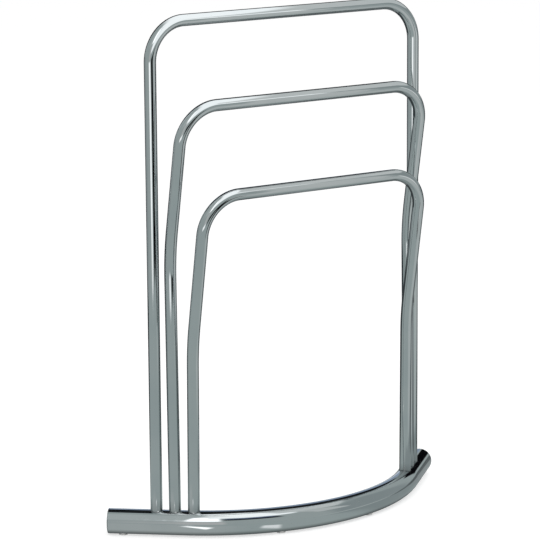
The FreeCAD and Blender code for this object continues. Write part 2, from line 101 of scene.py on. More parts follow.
def doMath(tree, operation, first, second=None, clamp=False):
    values = {0: first} if second is None else {0: first, 1: second}
    return addNode(tree, "ShaderNodeMath", values, operation=operation, use_clamp=clamp).outputs[0]


def ramp(tree, value, low, high, start=0.0, end=1.0):
    # start below low, end above high, and a smooth change between
    span = {"Value": value, "From Min": low, "From Max": high, "To Min": start, "To Max": end}
    return addNode(tree, "ShaderNodeMapRange", span, interpolation_type="SMOOTHSTEP").outputs["Result"]


def noise(tree, place, scale, detail, distortion=0.0):
    values = {"Vector": place, "Scale": scale, "Detail": detail, "Distortion": distortion}
    return addNode(tree, "ShaderNodeTexNoise", values).outputs["Fac"]


def mixColour(tree, factor, first, second):
    values = {"Factor": factor, 6: first, 7: second}
    return addNode(tree, "ShaderNodeMix", values, data_type="RGBA").outputs[2]


def newGroup(name, inputs, outputs):
    # a shader node group, its sockets given by name and kind
    group = bpy.data.node_groups.new(name, "ShaderNodeTree")
    for way, sockets in (("INPUT", inputs), ("OUTPUT", outputs)):
        for label, kind in sockets.items():
            group.interface.new_socket(label, in_out=way, socket_type="NodeSocket" + kind)
    return group, group.nodes.new("NodeGroupInput").outputs, group.nodes.new("NodeGroupOutput").inputs


# How the marks on plated metal lie. Scales are per metre, and each span gives the noise values where a mark
# starts and where it is full
skinPattern = {
    "cloudScale": 14.0,
    "cloudDetail": 3.0,
    "cloudSpan": (0.38, 0.66),
    "cloudShare": 0.8,         # of the cloud colour where the clouding is full
    "wipeScale": 31.0,
    "wipeDetail": 5.0,
    "wipeDistortion": 1.4,
    "wipeSpan": (0.52, 0.72),
    "buffAlong": 30.0,         # buffing marks in a metre of tube
    "buffDetail": 2.0,
    "buffHeight": 0.02,        # share of the ripple's depth
    "speckScale": 260.0,
    "speckEdge": (0.05, 0.16),             # distances from a speck's middle where it fades and is gone
    "speckChance": (0.90, 0.94),           # only spots whose own random value is this high show a speck
    "speckDark": 0.35,
    "speckDepth": 0.04,
    "hazeDark": 0.55,
    "hazeRough": 0.18,
    "dullColour": (0.10, 0.10, 0.10, 1),
}


def platedSkinGroup():
    # what plated metal shows close up: slow clouding of the plate, wiping smudges, buffing lines that run
    # along the tube, a scatter of fine specks, and a duller ring where a piece sits on another
    pattern = skinPattern
    group, given, result = newGroup(
        "platedSkin",
        {"Place": "Vector", "Along Tube": "Vector", "Plate Colour": "Color", "Cloud Colour": "Color",
         "Polish": "Float", "Smudge": "Float", "Buffing": "Float", "Buff Spacing": "Float", "Speck": "Float",
         "Seat Haze": "Float"},
        {"Colour": "Color", "Roughness": "Float", "Height": "Float"})
    haze = given["Seat Haze"]
    cloud = noise(group, given["Place"], pattern["cloudScale"], pattern["cloudDetail"])
    wipe = noise(group, given["Place"], pattern["wipeScale"], pattern["wipeDetail"],
                 pattern["wipeDistortion"])
    acrossScale = doMath(group, "DIVIDE", 1.0, given["Buff Spacing"])
    lineScale = addNode(group, "ShaderNodeCombineXYZ",
                        {"X": acrossScale, "Y": pattern["buffAlong"], "Z": 1.0}).outputs[0]
    lineSpot = addNode(group, "ShaderNodeVectorMath", {0: given["Along Tube"], 1: lineScale},
                       operation="MULTIPLY").outputs[0]
    buff = noise(group, lineSpot, 1.0, pattern["buffDetail"])
    speckPlace = {"Vector": given["Place"], "Scale": pattern["speckScale"]}
    speckSpot = addNode(group, "ShaderNodeTexVoronoi", speckPlace, feature="F1").outputs
    speckLuck = addNode(group, "ShaderNodeSeparateColor", {0: speckSpot["Color"]}).outputs[0]
    speck = doMath(group, "MULTIPLY", ramp(group, speckSpot["Distance"], *pattern["speckEdge"], 1.0, 0.0),
                   ramp(group, speckLuck, *pattern["speckChance"]))
    smudge = ramp(group, wipe, *pattern["wipeSpan"])
    clouding = doMath(group, "MULTIPLY", ramp(group, cloud, *pattern["cloudSpan"]), pattern["cloudShare"])
    plate = mixColour(group, clouding, given["Plate Colour"], given["Cloud Colour"])
    dullness = doMath(group, "ADD", doMath(group, "MULTIPLY", haze, pattern["hazeDark"]),
                      doMath(group, "MULTIPLY", speck, pattern["speckDark"]), clamp=True)
    colour = mixColour(group, dullness, plate, pattern["dullColour"])
    rough = given["Polish"]
    for mask, amount in ((smudge, given["Smudge"]), (buff, given["Buffing"]), (speck, given["Speck"]),
                         (haze, pattern["hazeRough"])):
        rough = doMath(group, "ADD", rough, doMath(group, "MULTIPLY", mask, amount), clamp=True)
    height = doMath(group, "ADD", cloud, doMath(group, "MULTIPLY", buff, pattern["buffHeight"]))
    height = doMath(group, "SUBTRACT", height, doMath(group, "MULTIPLY", speck, pattern["speckDepth"]))
    for label, value in (("Colour", colour), ("Roughness", rough), ("Height", height)):
        group.links.new(value, result[label])
    return group


platedSkin = platedSkinGroup()

chromeTubeLook = {
    "plateColour": (0.640, 0.665, 0.668),
    "cloudColour": (0.600, 0.632, 0.640),
    "polish": 0.035,           # roughness of the clean plate
    "smudge": 0.05,            # added where it has been wiped or handled
    "buffing": 0.025,          # added along the buffing lines
    "buffSpacing": 0.0007,
    "speck": 0.25,
    "ripple": 0.00006,         # depth of the slow waves that bend the reflections, metres
}
chromeCapLook = dict(chromeTubeLook, plateColour=(0.620, 0.640, 0.648), buffSpacing=0.0004, polish=0.05)
zincLook = {
    "plateColour": (0.560, 0.575, 0.590),
    "cloudColour": (0.440, 0.455, 0.500),
    "polish": 0.26,
    "smudge": 0.10,
    "buffing": 0.10,
    "buffSpacing": 0.0003,
    "speck": 0.20,
    "ripple": 0.00002,
}
rubberLook = {
    "colour": (0.86, 0.86, 0.85),          # off-white pads, which barely show against the floor
    "dustColour": (0.72, 0.71, 0.69),
    "dustScale": 160.0,
    "dustDetail": 4.0,
    "dustSpan": (0.45, 0.75),
    "roughness": 0.45,
    "grainRough": 0.2,         # added where the grain stands up
    "grainScale": 2400.0,
    "grainDetail": 3.0,
    "grainStrength": 0.6,
    "grainDepth": 0.00008,
}


def platedMetal(name, look, hasMap):
    material = bpy.data.materials.new(name)
    tree = newTree(material)
    place = addNode(tree, "ShaderNodeTexCoord").outputs["Object"]
    along = addNode(tree, "ShaderNodeUVMap", uv_map="alongTube").outputs[0] if hasMap else place
    inputs = {"Place": place, "Along Tube": along, "Plate Colour": (*look["plateColour"], 1),
              "Cloud Colour": (*look["cloudColour"], 1), "Polish": look["polish"], "Smudge": look["smudge"],
              "Buffing": look["buffing"], "Buff Spacing": look["buffSpacing"], "Speck": look["speck"]}
    if hasMap:
        inputs["Seat Haze"] = addNode(tree, "ShaderNodeAttribute", attribute_name="seatHaze").outputs["Fac"]
    skin = addNode(tree, "ShaderNodeGroup", inputs, node_tree=platedSkin).outputs
    bump = addNode(tree, "ShaderNodeBump", {"Height": skin["Height"], "Strength": 1.0,
                                            "Distance": look["ripple"]}).outputs[0]
    shader = addNode(tree, "ShaderNodeBsdfPrincipled", {"Base Color": skin["Colour"], "Metallic": 1.0,
                                                        "Roughness": skin["Roughness"], "Normal": bump})
    addNode(tree, "ShaderNodeOutputMaterial", {"Surface": shader.outputs[0]})
    return material


def padRubber():
    # moulded rubber: a fine pebble grain with dust in some of it
    look = rubberLook
    material = bpy.data.materials.new("padRubber")
    tree = newTree(material)
    place = addNode(tree, "ShaderNodeTexCoord").outputs["Object"]
    grain = noise(tree, place, look["grainScale"], look["grainDetail"])
    dust = ramp(tree, noise(tree, place, look["dustScale"], look["dustDetail"]), *look["dustSpan"])
    colour = mixColour(tree, dust, (*look["colour"], 1), (*look["dustColour"], 1))
    rough = doMath(tree, "ADD", look["roughness"], doMath(tree, "MULTIPLY", grain, look["grainRough"]))
    bump = addNode(tree, "ShaderNodeBump", {"Height": grain, "Strength": look["grainStrength"],
                                            "Distance": look["grainDepth"]}).outputs[0]
    shader = addNode(tree, "ShaderNodeBsdfPrincipled",
                     {"Base Color": colour, "Roughness": rough, "Normal": bump})
    addNode(tree, "ShaderNodeOutputMaterial", {"Surface": shader.outputs[0]})
    return material


chromeTube = platedMetal("chromeTube", chromeTubeLook, True)
chromeCap = platedMetal("chromeCap", chromeCapLook, True)
zincSteel = platedMetal("zincSteel", zincLook, False)
rubber = padRubber()
print("finishes: chrome tube, chrome cap, zinc steel, pad rubber")


baseTubeSizes = {
    "bendRadius": 0.333,       # plan radius of the bow, on the tube's centre line
    "halfSweep": 41.8,         # degrees from the middle of the bow to each straight end
    "straightLength": 0.120,
    "radius": 0.020,
    "wall": 0.0015,
    "floorGap": 0.0015,        # height of the foot pads under it
    "endChamfer": 0.0003,
    "hazeReach": 0.0015,       # how far from a leg's wall the dull ring around it fades out
    "turns": 96,
    "bowRows": 90,
    "straightRows": 8,
}
capSizes = {
    "rim": 0.0012,
    "dome": 0.0020,
    "edgeRadius": 0.0006,
    "wall": 0.0020,
    "spigotLength": 0.012,
    "spigotChamfer": 0.0004,
    "clearance": 0.00015,
    "backRadius": 0.0002,
    "backShare": 0.3,          # of the back radius cut off each way half round its arc
    "creaseStep": 0.0002,      # rows this near a corner keep it crisp
    "poleRing": 0.0020,        # radius of the last ring round the back's middle
    "seamReach": 0.0004,       # how far from the tube's end the dull seam fades out
    "mapTurn": 0.001,          # metres of flat map for each radian round the cap
    "turns": 96,
    "domeRows": 14,
    "edgeRows": 6,
}

halfSweep = math.radians(baseTubeSizes["halfSweep"])
bowHalfLength = baseTubeSizes["bendRadius"] * halfSweep
baseHalfLength = bowHalfLength + baseTubeSizes["straightLength"]
baseHeight = baseTubeSizes["floorGap"] + baseTubeSizes["radius"]
upright = np.array([0.0, 0.0, 1.0])


def bowCentreY():
    # the origin lies half way between the front of the bow and the back of the caps
    sizes = baseTubeSizes
    endDepth = sizes["bendRadius"] * math.cos(halfSweep) - sizes["straightLength"] * math.sin(halfSweep)
    backDepth = endDepth - capSizes["rim"] * math.sin(halfSweep) - sizes["radius"] * math.cos(halfSweep)
    return (backDepth + sizes["bendRadius"] + sizes["radius"]) / 2


bowCentre = np.array([0.0, bowCentreY(), baseHeight])


def baseLine(station):
    # station is the length along the centre line from the middle of the bow, positive to the right.
    # Angle = station / radius, held at the half sweep; what is left over runs straight along the tangent
    station = np.asarray(station, float)
    angle = np.clip(station / baseTubeSizes["bendRadius"], -halfSweep, halfSweep)
    over = station - angle * baseTubeSizes["bendRadius"]
    tangent = np.stack([np.cos(angle), np.sin(angle), np.zeros_like(angle)], -1)
    outward = np.stack([np.sin(angle), -np.cos(angle), np.zeros_like(angle)], -1)
    return bowCentre + outward * baseTubeSizes["bendRadius"] + tangent * over[..., None], tangent, outward


def distanceToBaseLine(points):
    # across the bow: plan distance to its circle; past the bow: plan distance to the straight run's line;
    # then the height above the line is added square on
    x, y, z = np.abs(points[..., 0]), points[..., 1] - bowCentre[1], points[..., 2] - baseHeight
    toCircle = np.hypot(x, y) - baseTubeSizes["bendRadius"]
    toLine = x * math.sin(halfSweep) - y * math.cos(halfSweep) - baseTubeSizes["bendRadius"]
    onBow = np.arctan2(x, -y) <= halfSweep
    return np.hypot(np.where(onBow, toCircle, toLine), z)


def stationOfLeg(inset):
    return baseHalfLength - inset


def lipRows(outerRadius, innerRadius, lip, steps):
    # a quarter circle off each edge of the wall: (radius, setback from the tube's end), outer edge to inner
    turn = np.linspace(0, math.pi / 2, steps)
    outer = np.stack([outerRadius - lip * (1 - np.cos(turn)), lip * (1 - np.sin(turn))], -1)
    inner = np.stack([innerRadius + lip * (1 - np.cos(turn)), lip * (1 - np.sin(turn))], -1)[::-1]
    return outer, inner


def ringRow(centre, inward, front, radius, angles):
    # centre + radius * (cos(angle) * inward + sin(angle) * front), for every angle round the tube
    return (centre[..., None, :] + radius * (np.cos(angles)[:, None] * inward[..., None, :]
                                             + np.sin(angles)[:, None] * front[..., None, :]))


frameTube = {
    "radius": 0.0095,
    "wall": 0.0012,
    "cornerRadius": 0.062,
    "kinkRadius": 0.390,
    "seatGap": 0.0001,         # daylight between a leg's saddle and the base
    "saddleLip": 0.00025,      # rounding of the saddle's edges
    "firstRing": 0.0215,       # height above the base's centre line where a leg's whole rings begin
    "edgeRun": 0.003,          # length of flat map that the saddle's edge takes up
    "saddleSearch": (0.004, 0.030),        # heights between which the saddle's edge is looked for
    "halvings": 30,
    "hazeReach": 0.004,        # how far up a leg the dull ring at its seat fades out
    "turns": 56,
    "legRows": 22,
    "kinkRows": 18,
    "cornerRows": 40,
    "barRows": 10,
    "lipSteps": 4,
}
frameSizes = {
    "rear": {"inset": 0.076, "barHeight": 0.815, "kinkHeight": None, "lowerLean": 0.0, "upperLean": 0.0},
    "middle": {"inset": 0.1058, "barHeight": 0.687, "kinkHeight": 0.453, "lowerLean": -0.7,
               "upperLean": 10.2},
    "front": {"inset": 0.1356, "barHeight": 0.549, "kinkHeight": 0.308, "lowerLean": 0.5, "upperLean": 9.7},
}


def leanDirection(lean):
    # straight up, tipped forwards by the lean
    return np.array([0.0, -math.sin(lean), math.cos(lean)])


def rightHalfLine(sizes):
    # from the right foot to the middle of the bar: a straight leg, the kink's arc, a straight leg in the
    # leaning plane, the corner's arc and half the bar. Gives centres, directions and lengths along the line
    foot = baseLine(stationOfLeg(sizes["inset"]))[0]
    lower, upper = math.radians(sizes["lowerLean"]), math.radians(sizes["upperLean"])
    lowerWay, upperWay = leanDirection(lower), leanDirection(upper)
    kinkHeight = sizes["kinkHeight"] if sizes["kinkHeight"] else sizes["barHeight"] / 2
    lowerRun = (kinkHeight - baseHeight) / math.cos(lower)
    upperRun = (sizes["barHeight"] - kinkHeight) / math.cos(upper)
    kinkTangent = frameTube["kinkRadius"] * math.tan((upper - lower) / 2)
    cornerRadius = frameTube["cornerRadius"]
    knee = foot + lowerWay * lowerRun
    along = np.linspace(frameTube["firstRing"], lowerRun - kinkTangent, frameTube["legRows"])
    centres = [foot + lowerWay * along[:, None]]
    ways = [np.repeat(lowerWay[None], len(along), 0)]
    if upper > lower:
        lean = np.linspace(lower, upper, frameTube["kinkRows"] + 2)[1:-1]
        hub = foot + lowerWay * (lowerRun - kinkTangent) - frameTube["kinkRadius"] * np.array(
            [0, math.cos(lower), math.sin(lower)])
        centres.append(hub + frameTube["kinkRadius"] * np.stack([0 * lean, np.cos(lean), np.sin(lean)], -1))
        ways.append(np.stack([0 * lean, -np.sin(lean), np.cos(lean)], -1))
    along = np.linspace(kinkTangent, upperRun - cornerRadius, frameTube["legRows"])
    if upper == lower:
        along = along[1:]
    centres.append(knee + upperWay * along[:, None])
    ways.append(np.repeat(upperWay[None], len(along), 0))
    turn = np.linspace(0, math.pi / 2, frameTube["cornerRows"] + 2)[1:-1, None]
    hub = knee + upperWay * (upperRun - cornerRadius) - np.array([cornerRadius, 0, 0])
    right = np.array([1.0, 0.0, 0.0])
    centres.append(hub + cornerRadius * (np.cos(turn) * right + np.sin(turn) * upperWay))
    ways.append(np.cos(turn) * upperWay - np.sin(turn) * right)
    bar = np.repeat((knee + upperWay * upperRun)[None], frameTube["barRows"], 0)
    bar[:, 0] = np.linspace(foot[0] - cornerRadius, 0, len(bar))
    centres.append(bar)
    ways.append(np.repeat(-right[None], len(bar), 0))
    centres, ways = np.concatenate(centres), np.concatenate(ways)
    steps = np.linalg.norm(np.diff(centres, axis=0), axis=1)
    lengths = np.concatenate([[0], np.cumsum(steps)]) + frameTube["firstRing"]
    return foot, lowerWay, upperWay, centres, ways, lengths


def saddleHeights(foot, way, inward, front, radius, angles):
    # for each line up the tube's wall, the height where it leaves the base's skin, by halving the interval
    low, high = (np.full(len(angles), height) for height in frameTube["saddleSearch"])
    wall = ringRow(foot, inward, front, radius, angles)
    reach = baseTubeSizes["radius"] + frameTube["seatGap"]
    for _ in range(frameTube["halvings"]):
        middle = (low + high) / 2
        outside = distanceToBaseLine(wall + way * middle[:, None]) > reach
        low, high = np.where(outside, low, middle), np.where(outside, middle, high)
    return (low + high) / 2


def wallRows(sizes, radius, edgeRows, angles):
    # one wall of the right half: the saddle's edge rows first, then whole rings up to the bar's middle
    foot, lowerWay, upperWay, centres, ways, lengths = rightHalfLine(sizes)
    inward = np.array([-1.0, 0.0, 0.0])
    front = np.cross(lowerWay, inward)
    rows = []
    for edgeRadius, setback in edgeRows:
        heights = saddleHeights(foot, lowerWay, inward, front, edgeRadius, angles) + setback
        rows.append(ringRow(foot, inward, front, edgeRadius, angles) + lowerWay * heights[:, None])
    isLeg = np.isclose(ways[:, :1], 0)
    fronts = np.where(isLeg, np.cross(ways, inward), np.cross(upperWay, inward))
    inwards = np.cross(fronts, ways)
    rings = ringRow(centres, inwards, fronts, radius, angles)
    edgeLengths = np.linspace(lengths[0] - frameTube["edgeRun"], lengths[0], len(rows), endpoint=False)
    return np.concatenate([np.array(rows), rings]), np.concatenate([edgeLengths, lengths])


def bothSides(rows, lengths):
    # the right half mirrored in the plane x = 0, run from the left foot over the bar to the right foot
    left = rows * np.array([-1.0, 1.0, 1.0])
    whole = lengths[-1] * 2
    return np.concatenate([left, rows[::-1][1:]]), np.concatenate([lengths, (whole - lengths[::-1])[1:]])


def bentFrame(name, material):
    # outer wall from foot to foot, then the inner wall back, joined by the rounded saddle edges.
    # Haze = exp(-height off the base's skin / haze reach)
    sizes, radius, turns = frameSizes[name], frameTube["radius"], frameTube["turns"]
    angles = np.linspace(0, 2 * math.pi, turns, endpoint=False)
    boreRadius = radius - frameTube["wall"]
    outerLip, innerLip = lipRows(radius, boreRadius, frameTube["saddleLip"], frameTube["lipSteps"])
    outer, outerLengths = bothSides(*wallRows(sizes, radius, outerLip[::-1], angles))
    inner, innerLengths = bothSides(*wallRows(sizes, boreRadius, innerLip, angles))
    points = np.concatenate([outer, inner[::-1]])
    lengths = np.concatenate([outerLengths, innerLengths[::-1], outerLengths[:1]])
    girth = np.linspace(0, 2 * math.pi * radius, turns + 1)
    offBase = np.maximum(distanceToBaseLine(points) - baseTubeSizes["radius"], 0)
    haze = np.exp(-offBase / frameTube["hazeReach"])
    newPiece(name + "_frame_tube", points.reshape(-1, 3), gridFaces(len(points), turns).tolist(),
             gridUv(lengths, girth), haze.ravel(), material, [name + "_frame"])


for frameName in frameSizes:
    bentFrame(frameName, chromeTube)
print("frames: rear, middle and front tubes bent and saddled")


legInsets = [sizes["inset"] for sizes in frameSizes.values()]
baseHoles = {
    "access": {"radius": 0.00725, "insets": legInsets, "bowAngles": [], "below": True},
    "screw": {"radius": 0.0033, "insets": legInsets, "bowAngles": [], "below": False},
    "padStem": {"radius": 0.0026, "insets": [0.022], "bowAngles": [15], "below": True},
}
cutterSizes = {
    "turns": 40,
    "overrun": 0.006,          # how far a plug goes past the tube's wall
}


def holeCutter():
    # a closed round plug for every hole, from the tube's centre line out past its wall, as one mesh
    count = cutterSizes["turns"]
    angles = np.linspace(0, 2 * math.pi, count, endpoint=False)
    reach = baseTubeSizes["radius"] + cutterSizes["overrun"]
    spots = []
    for hole in baseHoles.values():
        stations = [stationOfLeg(inset) for inset in hole["insets"]]
        stations += [math.radians(angle) * baseTubeSizes["bendRadius"] for angle in hole["bowAngles"]]
        low, high = sorted((baseHeight, baseHeight + (-reach if hole["below"] else reach)))
        for station in stations:
            for side in (-1, 1):
                spots.append((baseLine(side * station)[0], hole["radius"], low, high))
    j = np.arange(count)
    k = (j + 1) % count
    points, faces = [], []
    for centre, radius, low, high in spots:
        first = len(points) * count
        ring = np.stack([centre[0] + radius * np.cos(angles), centre[1] + radius * np.sin(angles)], -1)
        points += [np.column_stack([ring, np.full(count, level)]) for level in (low, high)]
        faces += np.stack([first + j, first + k, first + count + k, first + count + j], -1).tolist()
        faces += [(first + j[::-1]).tolist(), (first + count + j).tolist()]
    mesh = bpy.data.meshes.new("holeCutter")
    mesh.from_pydata(np.concatenate(points).tolist(), [], faces)
    mesh.update()
    cutter = bpy.data.objects.new("holeCutter", mesh)
    bpy.context.scene.collection.objects.link(cutter)
    return cutter


def drill(piece, cutter):
    # cuts the holes and keeps the result as the piece's own mesh, with the hole edges left crisp
    modifier = piece.modifiers.new("holes", "BOOLEAN")
    modifier.operation, modifier.solver, modifier.object = "DIFFERENCE", "EXACT", cutter
    bpy.context.view_layer.update()
    drilled = bpy.data.meshes.new_from_object(piece.evaluated_get(bpy.context.evaluated_depsgraph_get()))
    piece.modifiers.clear()
    drilled.set_sharp_from_angle(angle=creaseAngle)
    drilled.materials.clear()
    drilled.materials.append(piece.data.materials[0])
    piece.data = drilled
    bpy.data.objects.remove(cutter)


def baseTube(material):
    # outer wall from end to end, then the bore back, joined by the chamfered ends
    sizes, chamfer = baseTubeSizes, baseTubeSizes["endChamfer"]
    bow = np.linspace(-bowHalfLength, bowHalfLength, sizes["bowRows"])
    end = np.linspace(bowHalfLength, baseHalfLength - chamfer, sizes["straightRows"])[1:]
    stations = np.concatenate([[-baseHalfLength], -end[::-1], bow, end, [baseHalfLength]])
    outerRadii = np.full(len(stations), sizes["radius"])
    outerRadii[[0, -1]] -= chamfer
    boreRadii = np.full(len(stations), sizes["radius"] - sizes["wall"])
    boreRadii[[0, -1]] += chamfer
    lengths = np.concatenate([stations, stations[::-1]])
    radii = np.concatenate([outerRadii, boreRadii[::-1]])
    centres, _, outwards = baseLine(lengths)
    angles = np.linspace(0, 2 * math.pi, sizes["turns"], endpoint=False)
    points = ringRow(centres, outwards, upright, radii[:, None, None], angles).reshape(-1, 3)
    girth = np.linspace(0, 2 * math.pi * sizes["radius"], sizes["turns"] + 1)
    piece = newPiece("base_bow_tube", points, gridFaces(len(lengths), sizes["turns"]).tolist(),
                     gridUv(np.append(lengths, lengths[0]), girth), seatHazeOnBase(points), material,
                     ["base_tube"])
    drill(piece, holeCutter())


def seatHazeOnBase(points):
    # on the upper half, exp(-distance from the nearest leg's wall in plan / haze reach)
    haze = np.zeros(len(points))
    for inset in legInsets:
        for side in (-1, 1):
            foot = baseLine(side * stationOfLeg(inset))[0]
            away = np.abs(np.hypot(points[:, 0] - foot[0], points[:, 1] - foot[1]) - frameTube["radius"])
            haze = np.maximum(haze, np.exp(-away / baseTubeSizes["hazeReach"]) * (points[:, 2] > baseHeight))
    return haze


baseTube(chromeTube)
print("base: bowed tube rolled and drilled")


def capProfile():
    # (distance out along the cap's axis, radius), from the middle of the dome round to the middle of the
    # back: the dome is an arc centred on the axis, met by a small edge arc that touches it and the rim
    sizes, radius = capSizes, baseTubeSizes["radius"]
    rim, edge, reach = sizes["rim"], sizes["edgeRadius"], sizes["rim"] + sizes["dome"]
    hub = (reach ** 2 - rim ** 2 - radius ** 2) / (2 * (reach - rim))
    domeRadius = reach - hub
    edgeOut = hub + math.sqrt((domeRadius - edge) ** 2 - (radius - edge) ** 2)
    meet = math.atan2(radius - edge, edgeOut - hub)
    turn = np.linspace(0, meet, sizes["domeRows"])[1:]
    dome = np.stack([hub + domeRadius * np.cos(turn), domeRadius * np.sin(turn)], -1)
    turn = np.linspace(meet, math.pi / 2, sizes["edgeRows"])[1:]
    rounding = np.stack([edgeOut + edge * np.cos(turn), radius - edge + edge * np.sin(turn)], -1)
    spigot = radius - baseTubeSizes["wall"] - sizes["clearance"]
    bore, back = spigot - sizes["wall"], sizes["backRadius"]
    backTurn, step = back * sizes["backShare"], sizes["creaseStep"]
    chamfer, end = sizes["spigotChamfer"], -sizes["spigotLength"]
    rest = np.array([
        (back, radius), (backTurn, radius - backTurn), (0, radius - back),  # the rim's back edge
        (0, spigot + step / 2), (0, spigot), (-step, spigot),               # from the back on to the spigot
        (end + chamfer, spigot), (end, spigot - chamfer), (end, bore),      # round the spigot's end
        (end + step, bore), (-step, bore),                                  # back along its bore
        (0, bore), (0, bore - step), (0, sizes["poleRing"])])               # in to the middle
    return np.concatenate([dome, rounding, rest]), reach


def endCap(side, material):
    # the profile carried round the axis of the base's end, with a pole at the dome and one at the back.
    # Haze = exp(-distance from the tube's end / seam reach) outside the spigot
    profile, reach = capProfile()
    label, turns = "right" if side > 0 else "left", capSizes["turns"]
    centre, tangent, _ = baseLine(side * baseHalfLength)
    axis = tangent * side
    level = np.cross(upright, axis)
    angles = np.linspace(0, 2 * math.pi, turns, endpoint=False)
    rings = ringRow(centre + profile[:, :1] * axis, level, upright, profile[:, 1, None, None], angles)
    points = np.concatenate([rings.reshape(-1, 3), [centre + axis * reach, centre]])
    lastRing, domePole, backPole = (len(rings) - 1) * turns, len(points) - 2, len(points) - 1
    j = np.arange(turns)
    k = (j + 1) % turns
    quads = gridFaces(len(rings), turns, closed=False)
    dome = np.stack([np.full(turns, domePole), j, k], -1)
    back = np.stack([np.full(turns, backPole), lastRing + k, lastRing + j], -1)
    across, upward = (points - centre) @ level, points[:, 2] - centre[2]
    fromAxis = np.hypot(across, upward)
    corners = np.concatenate([quads.ravel(), dome.ravel(), back.ravel()])
    uvs = np.stack([fromAxis, np.arctan2(upward, across) * capSizes["mapTurn"]], -1)[corners]
    haze = np.exp(-np.abs((points - centre) @ axis) / capSizes["seamReach"])
    haze = haze * (fromAxis > baseTubeSizes["radius"] - baseTubeSizes["wall"])
    newPiece("base_cap_" + label, points, quads.tolist() + dome.tolist() + back.tolist(), uvs, haze, material,
             ["base_end_cap_" + label], creased=True)


for capSide in (-1, 1):
    endCap(capSide, chromeCap)
print("caps: both ends domed")


def refinish(material, *starts):
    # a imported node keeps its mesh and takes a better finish
    for name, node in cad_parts.items():
        if name.startswith(starts):
            node.data.materials.clear()
            node.data.materials.append(material)


refinish(zincSteel, "leg_plug_", "leg_screw_", "leg_washer_")
refinish(rubber, "foot_pad_")
refinish(chromeTube, "base_tube", "rear_frame", "middle_frame", "front_frame")
refinish(chromeCap, "base_end_cap_")
print("fixings and pads: refinished")


studio = {
    "floorSize": 60.0,
    "floorColour": (0.80, 0.80, 0.80),      # what the floor gives back to the pieces as light
    "seenFloorColour": (0.50, 0.50, 0.50),  # the share of the seen floor that takes shadow
    "seenFloorGlow": 0.62,
    "mirrorReach": 2.2,                     # metres of floor that the chrome shows before the room begins
    "mirrorFade": 0.85,                     # share of that reach where the floor starts to fade
    "worldLevel": 0.75,
    "keyPower": 55.0,
    "keySize": 1.8,
    "keyPlace": (-1.6, -2.2, 3.0),
    "fillPower": 22.0,
    "fillPlace": (2.4, -1.2, 2.2),
    "lampTarget": (0, 0, 0.3),              # where both lamps point
}
# What the chrome shows of the room, as patches by compass direction (degrees clockwise from +Y, from and to),
# height (degrees up, from and to), softness and colour. Later patches lie over earlier ones
fullTurn = 360.0
roomGrey = (0.400, 0.450, 0.450)
roomPatches = {
    "leftWall": ((-66, -24), (-40, 4), 6, (0.330, 0.370, 0.375)),
    "backGloom": ((-24, 95), (-40, 2), 7, (0.045, 0.055, 0.060)),
    "leftUpper": ((226, 268), (26, 82), 12, (0.500, 0.545, 0.545)),
    "ceiling": ((90, 228), (60, 92), 8, (1.00, 1.02, 1.03)),
    "rightGrey": ((84, 146), (0, 50), 12, (0.310, 0.352, 0.358)),
    "sideBoard": ((94, 128), (-30, -1), 3, (0.330, 0.370, 0.375)),
    "rightBoard": ((121, 140), (-14, -4), 2.5, (0.850, 0.870, 0.870)),
    "blackFlagFront": ((157, 193), (-14, -1.5), 3.5, (0.004, 0.004, 0.005)),
    "frontStrip": ((206, 234), (-12, -4.5), 4, (1.35, 1.36, 1.37)),
    "leftSoftbox": ((210, 230.5), (27, 62), 4, (1.75, 1.75, 1.78)),
    "softboxEdge": ((150, 210), (54, 66), 6, (1.45, 1.48, 1.52)),
    "navyGap": ((172, 207), (44, 54), 7, (0.16, 0.22, 0.33)),
    "blackGap": ((172, 208), (35, 46), 5, (0.010, 0.012, 0.018)),
    "frontWall": ((208, 231), (-2, 22), 4, (0.560, 0.570, 0.570)),
    "blackFlagTop": ((-4, 56), (34, 82), 4, (0.003, 0.004, 0.006)),
    "blackFlagMid": ((40, 76), (48, 82), 5, (0.003, 0.004, 0.006)),
    "blackFlagCrown": ((28, 132), (59, 84), 5, (0.003, 0.004, 0.006)),
    "blackFlagHub": ((38, 60), (20, 46), 4, (0.003, 0.004, 0.006)),
    "blackFlagRight": ((44, 68), (8, 24), 2.5, (0.003, 0.003, 0.004)),
    "blueWall": ((16, 40), (4, 34), 5, (0.290, 0.360, 0.470)),
    "horizonGlow": ((20, 42), (-4, 6), 2, (0.65, 0.73, 0.84)),
}
# The same on the floor that only the chrome sees: patches by place (metres, from and to along X and Y),
# softness and colour. They are painted light and shade in the mirrored floor, and the strips and the spot are
# painted highlights
noTurn = 1000.0                # the patches' turn where nothing comes round again
floorGrey = (0.392, 0.447, 0.447)
floorPatches = {
    "paleRight": ((0.35, 2.0), (-2.0, -0.30), 0.30, (0.520, 0.560, 0.560)),
    "farRight": ((0.60, 2.0), (-0.10, 1.4), 0.20, (0.200, 0.220, 0.225)),
    "barGround": ((0.40, 1.2), (0.05, 0.60), 0.10, (0.140, 0.155, 0.160)),
    "armGround": ((0.28, 0.46), (-0.05, 0.30), 0.05, (0.300, 0.330, 0.335)),
    "rightNear": ((0.08, 0.50), (-0.30, 0.00), 0.08, (0.300, 0.343, 0.347)),
    "paleLeft": ((-0.50, -0.18), (-0.12, 0.10), 0.08, (0.450, 0.490, 0.490)),
    # painted highlights: glowing strips and a spot that put bright streaks on the chrome near the floor
    "highlightStrip": ((-0.284, -0.216), (-0.070, -0.046), 0.012, (1.80, 1.80, 1.80)),
    "highlightStripEnd": ((-0.130, -0.096), (-0.116, -0.088), 0.012, (0.95, 0.97, 0.98)),
    "legHighlightSpot": ((-0.380, -0.350), (-0.155, -0.125), 0.02, (1.20, 1.20, 1.20)),
}
floorGloom = {"heading": 34.8, "near": 0.06, "far": 0.32, "colour": (0.050, 0.060, 0.064)}
floorShade = {"near": 0.006, "far": 0.024, "underLight": 0.30}
white = (1, 1, 1, 1)


